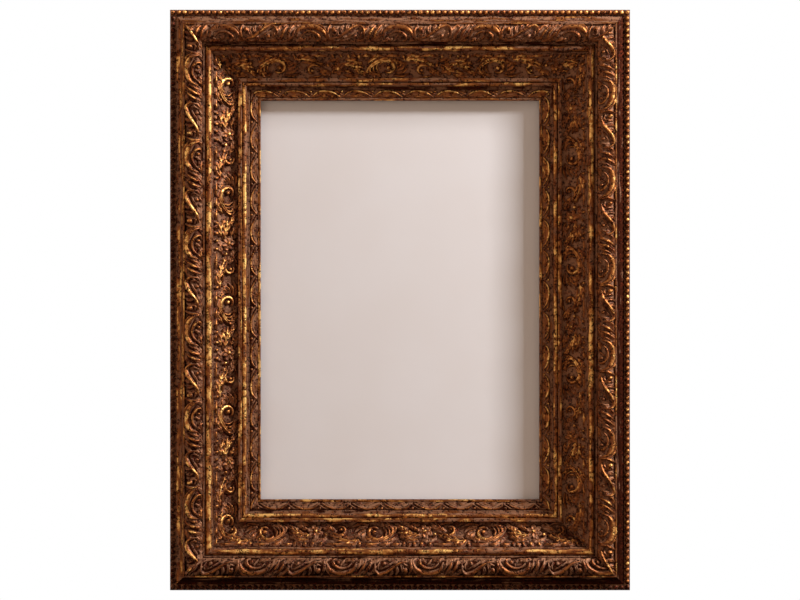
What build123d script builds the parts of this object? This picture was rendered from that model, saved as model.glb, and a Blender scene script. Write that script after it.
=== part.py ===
from build123d import *
from math import asin, degrees
import os

# Ornate gilded picture frame for an A4 sheet, hung on a wall by two ring hangers.
# Millimetres. +X is to the viewer's right, +Z is up and the front faces -Y.
# The origin is on the wall plane, behind the middle of the frame.
# A section point is (p, h): p runs inwards from the frame's outer edge, h runs
# forwards from the moulding's flat back.

# Picture, glass and backing
picture_width = 210.0
picture_height = 297.0
picture_overlap_width = 4.0
rebate_clearance = 1.0
glass_thickness = 2.0
panel_thickness = 2.8
backing_thickness = 3.2

# Widths of the moulding's members, from the outer edge inwards
bead_bed_width = 4.2
cove_width = 5.8
outer_fillet_width = 1.2
acanthus_width = 12.7
inner_fillet_width = 1.3
quirk_width = 0.8
astragal_width = 4.5
drop_width = 0.9
scroll_width = 17.6
step_width = 2.6
reed_width = 3.5
hollow_width = 2.0
sight_leaf_width = 6.1
sight_fillet_width = 1.8

# Heights of the members above the moulding's back
side_height = 20.6
cove_foot_height = 21.8
cove_head_height = 30.0
outer_fillet_height = 31.0
acanthus_bed_height = 28.6
acanthus_outer_height = 30.4
acanthus_crown_height = 34.8
acanthus_inner_height = 29.6
inner_fillet_height = 29.4
quirk_height = 27.2
drop_height = 26.6
scroll_outer_bed_height = 20.4
scroll_outer_height = 26.2
scroll_inner_bed_height = 9.4
scroll_inner_height = 15.4
step_height = 16.6
reed_foot_height = 14.4
hollow_height = 13.0
sight_leaf_bed_height = 10.4
sight_leaf_outer_height = 12.4
sight_leaf_inner_height = 11.2
sight_fillet_height = 11.8

# Rounding of the members, as shares of their own width
cove_sag_share = 0.3
scroll_sag_share = 0.15
sight_leaf_crown_share = 0.12

# Bead course
bead_radius = 2.0
bead_neck_radius = 0.7
bead_pitch = 4.28
bead_strip_thickness = 0.8
bead_rise_height = 1.2

# Mitre joints, pinned from the back by pairs of steel V nails
nail_leg_length = 6.0
nail_thickness = 0.8
nail_depth = 10.0
nail_place_shares = (0.2, 0.66)

# Turn buttons on the back, and their screws
button_length = 26.0
button_width = 9.0
button_thickness = 1.2
button_rebate_distance = 8.0
button_clearance = 0.2
side_button_height = 75.0
screw_radius = 1.45
screw_length = 9.0
screw_head_radius = 2.9
screw_head_height = 1.3
screw_slot_width = 0.7
screw_slot_depth = 0.6
pilot_clearance = 0.02
running_clearance = 0.08

# Ring hangers on the back of the side rails
hanger_place_share = 0.46
hanger_height = 112.0
strap_width = 9.0
strap_thickness = 0.9
strap_length = 23.0
strap_slit_width = 0.15
strap_screw_distance = 17.0
strap_corner_radius = 1.5
ring_wire_radius = 1.1
ring_half_width = 7.1
ring_side_length = 3.0
ring_corner_radius = 1.9
ring_lean_clearance = 0.3

# Wall bumpers at the lower corners
wall_clearance = 5.0
bumper_radius = 5.5
bumper_chamfer_width = 0.9
bumper_inset_share = 0.4

# How far a cutting shape runs past what it cuts
overrun = 2.0

quarter_turn_deg = 90.0

# Worked out from the values above
sight_width = picture_width - 2 * picture_overlap_width
sight_height = picture_height - 2 * picture_overlap_width
rebate_ledge = picture_overlap_width + rebate_clearance
rebate_depth = glass_thickness + panel_thickness + backing_thickness

outer_fillet_at = bead_bed_width + cove_width
acanthus_at = outer_fillet_at + outer_fillet_width
inner_fillet_at = acanthus_at + acanthus_width
quirk_at = inner_fillet_at + inner_fillet_width
astragal_at = quirk_at + quirk_width
drop_at = astragal_at + astragal_width
scroll_at = drop_at + drop_width
step_at = scroll_at + scroll_width
reed_at = step_at + step_width
hollow_at = reed_at + reed_width
sight_leaf_at = hollow_at + hollow_width
sight_fillet_at = sight_leaf_at + sight_leaf_width
rail_width = sight_fillet_at + sight_fillet_width

outer_width = sight_width + 2 * rail_width
outer_height = sight_height + 2 * rail_width

# Each rail's outer length, and how far its outer edge lies from the frame's middle,
# clockwise from the top
rails = {
    "top": (outer_width, outer_height / 2),
    "right": (outer_height, outer_width / 2),
    "bottom": (outer_width, outer_height / 2),
    "left": (outer_height, outer_width / 2),
}


def sagged(start, end, sag_share):
    """The middle of an arc from start to end, off its chord to the right-hand side."""
    run = end[0] - start[0]
    rise = end[1] - start[1]
    return (
        (start[0] + end[0]) / 2 + rise * sag_share,
        (start[1] + end[1]) / 2 - run * sag_share,
    )


def section_face(points):
    """A closed section on the YZ plane. A step that holds two points is an arc: via, end."""

    def seat(point):
        return (-wall_clearance - point[1], -point[0])

    edges = []
    here = points[0]
    for step in points[1:] + points[:1]:
        if isinstance(step[0], tuple):
            via, there = step
            edges.append(ThreePointArc(seat(here), seat(via), seat(there)))
        else:
            there = step
            edges.append(Line(seat(here), seat(there)))
        here = there
    return Plane.YZ * make_face(edges)


def mitre_wedge(length):
    """The mitred outline of a rail, thick enough to hold every member."""
    outline = Polyline(
        (-length / 2, 0),
        (length / 2, 0),
        (length / 2 - rail_width, -rail_width),
        (-length / 2 + rail_width, -rail_width),
        close=True,
    )
    reach = wall_clearance + acanthus_crown_height + overrun
    return extrude(Plane.XZ * make_face(outline), amount=reach)


def mitred(points, length):
    """A member with this section, run along a rail and cut at both mitres."""
    run = extrude(section_face(points), amount=length / 2, both=True)
    return run & mitre_wedge(length)


def turn_of(side):
    """A rail's turn about Y from the top rail's place, in degrees."""
    return list(rails).index(side) * quarter_turn_deg


def placed(shape, side):
    """Moves a shape made along X, with its outer edge at z = 0, to its side of the frame."""
    _, half_extent = rails[side]
    return Rotation(0, turn_of(side), 0) * Pos(0, 0, half_extent) * shape


def on_back(side, along, p):
    """The point on the moulding's back, p in from the outer edge, along from a rail's middle."""
    _, half_extent = rails[side]
    here = Pos(along, -wall_clearance, half_extent - p)
    return (Rotation(0, turn_of(side), 0) * here).position


def core_section():
    """The wooden moulding: beds for the four applied courses, plain members, rebate."""
    reed_middle = reed_at + reed_width / 2
    astragal_middle = astragal_at + astragal_width / 2
    rebate_at = rail_width - rebate_ledge
    cove_foot = (bead_bed_width, cove_foot_height)
    cove_head = (outer_fillet_at, cove_head_height)
    return [
        (0.0, 0.0),
        (0.0, side_height),
        (bead_bed_width, side_height),
        cove_foot,
        (sagged(cove_foot, cove_head, cove_sag_share), cove_head),
        (outer_fillet_at, outer_fillet_height),
        (acanthus_at, outer_fillet_height),
        (acanthus_at, acanthus_bed_height),
        (inner_fillet_at, acanthus_bed_height),
        (inner_fillet_at, inner_fillet_height),
        (quirk_at, inner_fillet_height),
        (quirk_at, quirk_height),
        (astragal_at, quirk_height),
        (
            (astragal_middle, quirk_height + astragal_width / 2),
            (drop_at, quirk_height),
        ),
        (drop_at, drop_height),
        (scroll_at, drop_height),
        (scroll_at, scroll_outer_bed_height),
        (step_at, scroll_inner_bed_height),
        (step_at, step_height),
        (reed_at, step_height),
        (reed_at, reed_foot_height),
        (
            (reed_middle, reed_foot_height + reed_width / 2),
            (hollow_at, reed_foot_height),
        ),
        (hollow_at, hollow_height),
        (sight_leaf_at, hollow_height),
        (sight_leaf_at, sight_leaf_bed_height),
        (sight_fillet_at, sight_leaf_bed_height),
        (sight_fillet_at, sight_fillet_height),
        (rail_width, sight_fillet_height),
        (rail_width, rebate_depth),
        (rebate_at, rebate_depth),
        (rebate_at, 0.0),
    ]


def acanthus_section():
    """The outer leaf course: a rounded strip on a flat bed."""
    middle = acanthus_at + acanthus_width / 2
    return [
        (acanthus_at, acanthus_bed_height),
        (acanthus_at, acanthus_outer_height),
        (
            (middle, acanthus_crown_height),
            (inner_fillet_at, acanthus_inner_height),
        ),
        (inner_fillet_at, acanthus_bed_height),
    ]


def scroll_section():
    """The wide scroll course: a strip whose face is hollowed into a cove."""
    outer_top = (scroll_at, scroll_outer_height)
    inner_top = (step_at, scroll_inner_height)
    return [
        (scroll_at, scroll_outer_bed_height),
        outer_top,
        (sagged(outer_top, inner_top, scroll_sag_share), inner_top),
        (step_at, scroll_inner_bed_height),
    ]


def sight_leaf_section():
    """The narrow leaf course beside the sight edge."""
    outer_top = (sight_leaf_at, sight_leaf_outer_height)
    inner_top = (sight_fillet_at, sight_leaf_inner_height)
    return [
        (sight_leaf_at, sight_leaf_bed_height),
        outer_top,
        (sagged(outer_top, inner_top, -sight_leaf_crown_share), inner_top),
        (sight_fillet_at, sight_leaf_bed_height),
    ]


def bead_course(length):
    """A string of beads on a flat strip, with the bead at each end halved by the mitre."""
    run = length - 2 * bead_radius
    gaps = round(run / bead_pitch)
    half_chord = (bead_radius**2 - bead_neck_radius**2) ** 0.5
    edges = []
    here = (-length / 2, bead_neck_radius)
    for i in range(gaps + 1):
        middle = -run / 2 + i * run / gaps
        foot = (middle - half_chord, bead_neck_radius)
        far_foot = (middle + half_chord, bead_neck_radius)
        edges.append(Line(here, foot))
        edges.append(ThreePointArc(foot, (middle, bead_radius), far_foot))
        here = far_foot
    end = (length / 2, bead_neck_radius)
    edges.append(Line(here, end))
    edges.append(Line(end, (length / 2, 0)))
    edges.append(Line((length / 2, 0), (-length / 2, 0)))
    edges.append(Line((-length / 2, 0), (-length / 2, bead_neck_radius)))
    string = revolve(make_face(edges), axis=Axis.X)
    bead_height = side_height + bead_rise_height
    string = Pos(0, -wall_clearance - bead_height, -bead_radius) * string
    strip_top = side_height + bead_strip_thickness
    strip = [
        (0.0, side_height),
        (0.0, strip_top),
        (bead_bed_width, strip_top),
        (bead_bed_width, side_height),
    ]
    room = [
        (-overrun, side_height),
        (-overrun, bead_height + bead_radius + overrun),
        (bead_bed_width, bead_height + bead_radius + overrun),
        (bead_bed_width, side_height),
    ]
    string = string & mitred_room(room, length)
    return string + mitred(strip, length)


def mitred_room(points, length):
    """As mitred, but its wedge also runs past the outer edge."""
    outline = Polyline(
        (-length / 2 - overrun, overrun),
        (length / 2 + overrun, overrun),
        (length / 2 - rail_width, -rail_width),
        (-length / 2 + rail_width, -rail_width),
        close=True,
    )
    reach = wall_clearance + acanthus_crown_height + overrun
    wedge = extrude(Plane.XZ * make_face(outline), amount=reach)
    run = extrude(section_face(points), amount=length / 2 + overrun, both=True)
    return run & wedge


def v_nail(corner_x, corner_z, share):
    """One V nail at a corner: its bend is on the mitre line, its legs run inwards."""
    inset = rail_width * share
    x = corner_x * (outer_width / 2 - inset)
    z = corner_z * (outer_height / 2 - inset)
    half_leg = nail_leg_length / 2
    half_sheet = nail_thickness / 2
    middle_y = -wall_clearance - nail_depth / 2
    level = Box(nail_leg_length, nail_depth, nail_thickness)
    level = Pos(x - corner_x * half_leg, middle_y, z - corner_z * half_sheet) * level
    upright = Box(nail_thickness, nail_depth, nail_leg_length)
    upright = Pos(x - corner_x * half_sheet, middle_y, z - corner_z * half_leg) * upright
    return level + upright


def v_nails():
    """Two nails at each of the four corners."""
    nails = []
    for corner_x in (-1, 1):
        for corner_z in (-1, 1):
            for share in nail_place_shares:
                nails.append(v_nail(corner_x, corner_z, share))
    return nails


def to_wall(point, shape):
    """Stands a shape that was made along +Z at this point, pointing at the wall."""
    return Pos(*point) * Rotation(-quarter_turn_deg, 0, 0) * shape


def screw(under_head):
    """A slotted round-head screw. Its axis is Z, z = 0 is the wood's face, and its
    head starts under_head above it."""
    shank = Pos(0, 0, (under_head - screw_length) / 2) * Cylinder(
        screw_radius, under_head + screw_length
    )
    head = Pos(0, 0, under_head + screw_head_height / 2) * Cylinder(
        screw_head_radius, screw_head_height
    )
    top = head.faces().sort_by(Axis.Z)[-1]
    head = fillet(top.edges(), screw_head_height / 2)
    slot = Pos(0, 0, under_head + screw_head_height) * Box(
        2 * screw_head_radius, screw_slot_width, 2 * screw_slot_depth
    )
    return shank + head - slot


def pilot_hole():
    """The hole a screw needs in the wood, open at the moulding's back."""
    depth = screw_length + pilot_clearance
    radius = screw_radius + pilot_clearance
    return Pos(0, 0, (overrun - depth) / 2) * Cylinder(radius, depth + overrun)


def turn_button():
    """A flat button whose pivot hole is at the origin and whose tail points along +X."""
    middle = button_length / 2 - button_width / 2
    plate = Pos(middle, 0) * SlotOverall(button_length, button_width)
    plate -= Circle(screw_radius + running_clearance)
    return Pos(0, 0, button_clearance) * extrude(plate, amount=button_thickness)


# Each turn button: its side of the frame and how far along the rail it is
button_places = {
    "turn_button_top": ("top", 0.0),
    "turn_button_right_upper": ("right", -side_button_height),
    "turn_button_right_lower": ("right", side_button_height),
    "turn_button_bottom": ("bottom", 0.0),
    "turn_button_left_lower": ("left", -side_button_height),
    "turn_button_left_upper": ("left", side_button_height),
}
button_at = rail_width - rebate_ledge - button_rebate_distance
hanger_at = rail_width * hanger_place_share
hanger_x = outer_width / 2 - hanger_at
hanger_places = {"left": -hanger_x, "right": hanger_x}
barrel_radius = ring_wire_radius + running_clearance + strap_thickness
ring_reach = ring_corner_radius + ring_side_length + ring_half_width
ring_lean = degrees(asin((barrel_radius - ring_wire_radius - ring_lean_clearance) / ring_reach))


def placed_button(side, along):
    """A turn button on its rail's back, with its tail over the backing board."""
    point = on_back(side, along, button_at)
    flat = Rotation(-quarter_turn_deg, 0, 0) * turn_button()
    return Pos(*point) * Rotation(0, turn_of(side) + quarter_turn_deg, 0) * flat


def hanger_strap():
    """A strip folded round the ring's bar. The bar runs along X through the origin,
    and the strap hangs from it with its back on the plane y = -barrel_radius."""
    leaves = Pos(0, strap_thickness - barrel_radius, -strap_length / 2) * Box(
        strap_width, 2 * strap_thickness, strap_length
    )
    lower = leaves.faces().sort_by(Axis.Z)[0]
    corners = lower.edges().filter_by(Axis.Y)
    leaves = fillet(corners, strap_corner_radius)
    along_x = Rotation(0, quarter_turn_deg, 0)
    barrel = along_x * Cylinder(barrel_radius, strap_width)
    bore_radius = ring_wire_radius + running_clearance
    bore = along_x * Cylinder(bore_radius, strap_width + overrun)
    slit = Pos(0, strap_thickness - barrel_radius, -(strap_length + overrun) / 2) * Box(
        strap_width + overrun, strap_slit_width, strap_length + overrun
    )
    along_y = Rotation(quarter_turn_deg, 0, 0)
    hole = Pos(0, 0, -strap_screw_distance) * along_y * Cylinder(
        screw_radius + pilot_clearance, 2 * barrel_radius + overrun
    )
    return leaves + barrel - bore - slit - hole


def hanger_ring():
    """A D-shaped wire ring. Its straight bar runs along X through the origin, and it
    stands up from the bar, leaning back until it all but rests on the moulding."""
    r = ring_corner_radius
    half = ring_half_width
    turn = r * (1 - 0.5**0.5)
    path = [
        Line((-half + r, 0), (half - r, 0)),
        ThreePointArc((half - r, 0), (half - turn, turn), (half, r)),
        Line((half, r), (half, r + ring_side_length)),
        ThreePointArc((half, r + ring_side_length), (0, ring_reach), (-half, r + ring_side_length)),
        Line((-half, r + ring_side_length), (-half, r)),
        ThreePointArc((-half, r), (-half + turn, turn), (-half + r, 0)),
    ]
    wire = Plane.XZ * Wire(path)
    start = Plane(origin=(-half + r, 0, 0), z_dir=(1, 0, 0))
    ring = sweep(start * Circle(ring_wire_radius), path=wire)
    return Rotation(ring_lean, 0, 0) * ring


def hanger_point(side):
    """The middle of the ring's bar."""
    return (hanger_places[side], barrel_radius - wall_clearance, hanger_height)


def bumper():
    """A round wall bumper that stands on z = 0."""
    body = Pos(0, 0, wall_clearance / 2) * Cylinder(bumper_radius, wall_clearance)
    return chamfer(body.faces().sort_by(Axis.Z)[-1].edges(), bumper_chamfer_width)


def bumper_points():
    """The two bumpers' places on the moulding's back."""
    inset = rail_width * bumper_inset_share
    x = outer_width / 2 - inset
    z = -outer_height / 2 + inset
    return [(-x, -wall_clearance, z), (x, -wall_clearance, z)]


def sheet(thickness, front_height):
    """A sheet of the picture's size, its front face at this height above the back."""
    middle = front_height - thickness / 2
    return Pos(0, -wall_clearance - middle, 0) * Box(picture_width, thickness, picture_height)


def build():
    """Every node by name."""
    nodes = {}
    nails = v_nails()
    pilots = []
    button_screws = []
    for name, (side, along) in button_places.items():
        point = on_back(side, along, button_at)
        nodes[name] = placed_button(side, along)
        under_head = button_thickness + 2 * button_clearance
        button_screws.append(to_wall(point, screw(under_head)))
        pilots.append(to_wall(point, pilot_hole()))
    hanger_screws = []
    for side, x in hanger_places.items():
        point = (x, -wall_clearance, hanger_height - strap_screw_distance)
        hanger_screws.append(to_wall(point, screw(2 * strap_thickness)))
        pilots.append(to_wall(point, pilot_hole()))
        nodes["hanger_strap_" + side] = Pos(*hanger_point(side)) * hanger_strap()
        nodes["hanger_ring_" + side] = Pos(*hanger_point(side)) * hanger_ring()
    for side, (length, _) in rails.items():
        core = placed(mitred(core_section(), length), side)
        for cutter in nails + pilots:
            core -= cutter
        nodes["rail_" + side] = core
        nodes["bead_course_" + side] = placed(bead_course(length), side)
        nodes["acanthus_band_" + side] = placed(mitred(acanthus_section(), length), side)
        nodes["scroll_band_" + side] = placed(mitred(scroll_section(), length), side)
        nodes["sight_leaf_band_" + side] = placed(mitred(sight_leaf_section(), length), side)
    panel_front = rebate_depth - glass_thickness
    nodes["glass_pane"] = sheet(glass_thickness, rebate_depth)
    nodes["blank_picture_panel"] = sheet(panel_thickness, panel_front)
    nodes["backing_board"] = sheet(backing_thickness, backing_thickness)
    nodes["corner_v_nails"] = Compound(children=nails)
    nodes["turn_button_screws"] = Compound(children=button_screws)
    nodes["hanger_screws"] = Compound(children=hanger_screws)
    nodes["wall_bumpers"] = Compound(
        children=[to_wall(point, bumper()) for point in bumper_points()]
    )
    return nodes


os.makedirs("parts", exist_ok=True)
for node_name, shape in build().items():
    export_step(shape, f"parts/{node_name}.step")
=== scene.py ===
import math

import bmesh
import bpy
import numpy as np
from mathutils import Matrix, Vector


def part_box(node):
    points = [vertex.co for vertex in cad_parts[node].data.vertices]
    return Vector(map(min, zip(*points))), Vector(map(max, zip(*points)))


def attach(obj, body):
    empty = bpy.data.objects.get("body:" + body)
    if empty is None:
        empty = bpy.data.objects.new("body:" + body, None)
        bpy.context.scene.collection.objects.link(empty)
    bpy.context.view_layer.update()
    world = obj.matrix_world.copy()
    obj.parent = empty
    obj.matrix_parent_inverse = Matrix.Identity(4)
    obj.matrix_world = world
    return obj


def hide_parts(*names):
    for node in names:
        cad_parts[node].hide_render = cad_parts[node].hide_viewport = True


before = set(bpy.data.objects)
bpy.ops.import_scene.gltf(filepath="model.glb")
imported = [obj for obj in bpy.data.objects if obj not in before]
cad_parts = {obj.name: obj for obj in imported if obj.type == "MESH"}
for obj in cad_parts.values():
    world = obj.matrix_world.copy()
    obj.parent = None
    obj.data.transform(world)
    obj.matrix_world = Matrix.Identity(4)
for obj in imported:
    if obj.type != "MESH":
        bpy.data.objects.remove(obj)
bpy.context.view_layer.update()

# The looks of an ornate gilded picture frame: a worn, gilded moulding with three pressed
# leaf courses and a string of beads a side, and its fittings. Metres. +X is to the viewer's
# right, +Z is up and the front faces -Y. A section point is (p, h): p runs inwards
# from the frame's outer edge, h runs forwards from the moulding's flat back.

MM = 0.001

# Sizes of the frame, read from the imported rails
rail_low, rail_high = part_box("rail_top")
side_low, side_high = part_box("rail_right")
OUTER_WIDTH = rail_high.x - rail_low.x
OUTER_HEIGHT = side_high.z - side_low.z
RAIL_WIDTH = rail_high.z - rail_low.z
WALL_CLEARANCE = -rail_high.y

# Each rail's outer length and the distance of its outer edge from the frame's
# middle, clockwise from the top
RAILS = {
    "top": (OUTER_WIDTH, OUTER_HEIGHT / 2),
    "right": (OUTER_HEIGHT, OUTER_WIDTH / 2),
    "bottom": (OUTER_WIDTH, OUTER_HEIGHT / 2),
    "left": (OUTER_HEIGHT, OUTER_WIDTH / 2),
}
QUARTER_TURN = math.pi / 2

# Places of the moulding's members, in from the outer edge
COVE_AT = 4.2 * MM
OUTER_FILLET_AT = 10.0 * MM
ACANTHUS_AT = 11.2 * MM
INNER_FILLET_AT = 23.9 * MM
QUIRK_AT = 25.2 * MM
ASTRAGAL_AT = 26.0 * MM
DROP_AT = 30.5 * MM
SCROLL_AT = 31.4 * MM
STEP_AT = 49.0 * MM
REED_AT = 51.6 * MM
HOLLOW_AT = 55.1 * MM
SIGHT_LEAF_AT = 57.1 * MM
SIGHT_FILLET_AT = 63.2 * MM
REBATE_AT = 60.0 * MM

# Heights of the members above the moulding's back
SIDE_TOP = 20.6 * MM
COVE_FOOT = 21.8 * MM
COVE_HEAD = 30.0 * MM
OUTER_FILLET_TOP = 31.0 * MM
ACANTHUS_BED = 28.6 * MM
INNER_FILLET_TOP = 29.4 * MM
QUIRK_TOP = 27.2 * MM
DROP_TOP = 26.6 * MM
SCROLL_OUTER_BED = 20.4 * MM
SCROLL_INNER_BED = 9.4 * MM
STEP_TOP = 16.6 * MM
REED_FOOT = 14.4 * MM
HOLLOW_TOP = 13.0 * MM
SIGHT_LEAF_BED = 10.4 * MM
SIGHT_FILLET_TOP = 11.8 * MM
REBATE_DEPTH = 8.0 * MM


def smoothed(points, steps=8):
    """A smooth curve through a few given points."""
    points = np.array(points, dtype=float)
    if len(points) == 2:
        share = np.linspace(0, 1, steps)[:, None]
        return points[0] * (1 - share) + points[1] * share
    before = 2 * points[0] - points[1]
    after = 2 * points[-1] - points[-2]
    knots = np.vstack([before, points, after])
    spans = []
    for index in range(len(points) - 1):
        a, b, c, d = knots[index:index + 4]
        last = index == len(points) - 2
        t = np.linspace(0, 1, steps, endpoint=last)[:, None]
        cubic = 2 * b + (c - a) * t + (2 * a - 5 * b + 4 * c - d) * t**2
        cubic = cubic + (3 * b - a - 3 * c + d) * t**3
        spans.append(cubic / 2)
    return np.vstack(spans)


# How high a pressed stroke stands across its width, from -1 on its left to 1 on
# its right, as a share of its height
RIM_SHARE = 0.22


def rounded_rim(across):
    return np.sqrt(np.clip((1 - np.abs(across)) / RIM_SHARE, 0, 1))


def stem_section(across):
    return np.sqrt(np.clip(1 - across**2, 0, 1))


def swelling_section(across):
    return np.clip(1 - across**2, 0, 1)


def spoon_section(across):
    return (0.55 + 0.45 * across**2) * rounded_rim(across)


def left_blade_section(across):
    return (0.35 + 0.65 * (1 - across) / 2) * rounded_rim(across)


def right_blade_section(across):
    return (0.35 + 0.65 * (1 + across) / 2) * rounded_rim(across)


def veined_section(across):
    return stem_section(across) - 0.3 * np.exp(-(across / 0.25)**2)


class Mould:
    """One repeat of a pressed ornament: its height over the ground, drawn by strokes.

    Drawings are in millimetres: along the rail, clockwise, then inwards from the
    course's outer edge.
    """

    STEP = 0.1

    def __init__(self, repeat, width):
        self.repeat = repeat
        self.width = width
        self.columns = round(repeat / self.STEP)
        self.inward = np.linspace(0, width, round(width / self.STEP) + 1)
        self.height = np.zeros((len(self.inward), self.columns))

    def window(self, low, high, reach):
        """The samples near a stroke: their columns, rows and places."""
        cell = self.repeat / self.columns
        first = math.floor((low[0] - reach) / cell)
        last = math.ceil((high[0] + reach) / cell)
        columns = np.arange(first, last + 1)
        near = (self.inward >= low[1] - reach) & (self.inward <= high[1] + reach)
        rows = np.where(near)[0]
        along, inward = np.meshgrid(columns * cell, self.inward[rows])
        return np.ix_(rows, columns % self.columns), along, inward

    def stroke(self, points, half_widths, heights, section=stem_section):
        """Raises a stroke that follows the points, with widths and heights spread along it."""
        path = smoothed(points)
        steps = np.linalg.norm(np.diff(path, axis=0), axis=1)
        share = np.concatenate([[0], np.cumsum(steps)]) / steps.sum()
        widths = np.interp(share, np.linspace(0, 1, len(half_widths)), half_widths)
        levels = np.interp(share, np.linspace(0, 1, len(heights)), heights)
        where, along, inward = self.window(path.min(0), path.max(0), widths.max())
        across = np.full(along.shape, 2.0)
        level = np.zeros(along.shape)
        for start, end, width, width_end, low, high in zip(
            path[:-1], path[1:], widths[:-1], widths[1:], levels[:-1], levels[1:]
        ):
            run = end - start
            t = ((along - start[0]) * run[0] + (inward - start[1]) * run[1]) / max(run @ run, 1e-9)
            t = np.clip(t, 0, 1)
            off_along = along - start[0] - t * run[0]
            off_inward = inward - start[1] - t * run[1]
            side = np.where(run[0] * off_inward < run[1] * off_along, -1, 1)
            here = np.hypot(off_along, off_inward) / (width + (width_end - width) * t)
            nearer = here < np.abs(across)
            across = np.where(nearer, side * here, across)
            level = np.where(nearer, low + (high - low) * t, level)
        raised = np.where(np.abs(across) < 1, level * section(across), 0)
        self.height[where] = np.maximum(self.height[where], raised)

    def ball(self, centre, radius, height, foot=0.0):
        """Raises a round boss on a foot of its own."""
        centre = np.array(centre)
        where, along, inward = self.window(centre, centre, radius)
        off = ((along - centre[0])**2 + (inward - centre[1])**2) / radius**2
        raised = np.where(off < 1, foot + height * np.sqrt(np.clip(1 - off, 0, 1)), 0)
        self.height[where] = np.maximum(self.height[where], raised)

    def curl(self, centre, radii, start_deg, turn_deg, half_widths, heights, count=12):
        """Raises a spiral stroke, from the first radius to the second."""
        points = []
        for index in range(count + 1):
            share = index / count
            radius = radii[0] + (radii[1] - radii[0]) * share
            angle = math.radians(start_deg + turn_deg * share)
            points.append((centre[0] + radius * math.cos(angle), centre[1] + radius * math.sin(angle)))
        self.stroke(points, half_widths, heights)

    def leaf(self, spine, half_widths, height, lobes=3):
        """Raises a leaf: a low body, lobes leaning forwards off both sides, and a midrib."""
        path = smoothed(spine)
        self.stroke(spine, half_widths, (0.7 * height, 0.9 * height, 0.6 * height), swelling_section)
        last = len(path) - 1
        for lobe in range(lobes):
            share = (lobe + 0.4) / lobes
            index = round(share * last)
            ahead = path[min(index + 1, last)] - path[max(index - 1, 0)]
            ahead = ahead / np.linalg.norm(ahead)
            reach = np.interp(share, np.linspace(0, 1, len(half_widths)), half_widths)
            for hand in (-1, 1):
                out = hand * np.array([-ahead[1], ahead[0]])
                heart = path[index] + 0.15 * reach * out
                bend = path[index] + (1.0 * ahead + 0.7 * out) * reach
                tip = path[index] + (2.4 * ahead + 0.95 * out) * reach
                widths = (0.32 * reach, 0.46 * reach, 0.16 * reach)
                self.stroke([heart, bend, tip], widths, (0.9 * height, height, 0.5 * height))
        rib = [max(0.4, 0.28 * width) for width in half_widths]
        self.stroke(spine, rib, (1.0 * height, 1.15 * height, 0.8 * height))

    def soften(self):
        """Takes the sharpness off, as a press mould does."""
        h = self.height
        h = (np.roll(h, 1, 1) + 2 * h + np.roll(h, -1, 1)) / 4
        edged = np.vstack([h[:1], h, h[-1:]])
        self.height = (edged[:-2] + 2 * edged[1:-1] + edged[2:]) / 4

    def crevices(self, reach=1.2):
        """How far each point lies under the mean of its surroundings, in millimetres."""
        steps = round(reach / self.STEP)
        around = self.height.copy()
        for axis in (0, 1):
            shifted = [np.roll(around, step, axis) for step in range(-steps, steps + 1, 2)]
            around = sum(shifted) / len(shifted)
        return np.clip(around - self.height, 0, None)

    def at(self, along, inward, values=None):
        """The height over the ground, or other values, along and across the course, in metres."""
        column = (along / MM / self.repeat % 1) * self.columns
        row = np.clip(inward / MM / self.width, 0, 1) * (len(self.inward) - 1)
        left = np.floor(column).astype(int) % self.columns
        right = (left + 1) % self.columns
        low = np.clip(np.floor(row).astype(int), 0, len(self.inward) - 2)
        fx = column - np.floor(column)
        fy = row - low
        h = self.height if values is None else values
        outer = h[low, left] * (1 - fx) + h[low, right] * fx
        inner = h[low + 1, left] * (1 - fx) + h[low + 1, right] * fx
        return (outer * (1 - fy) + inner * fy) * MM


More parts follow.
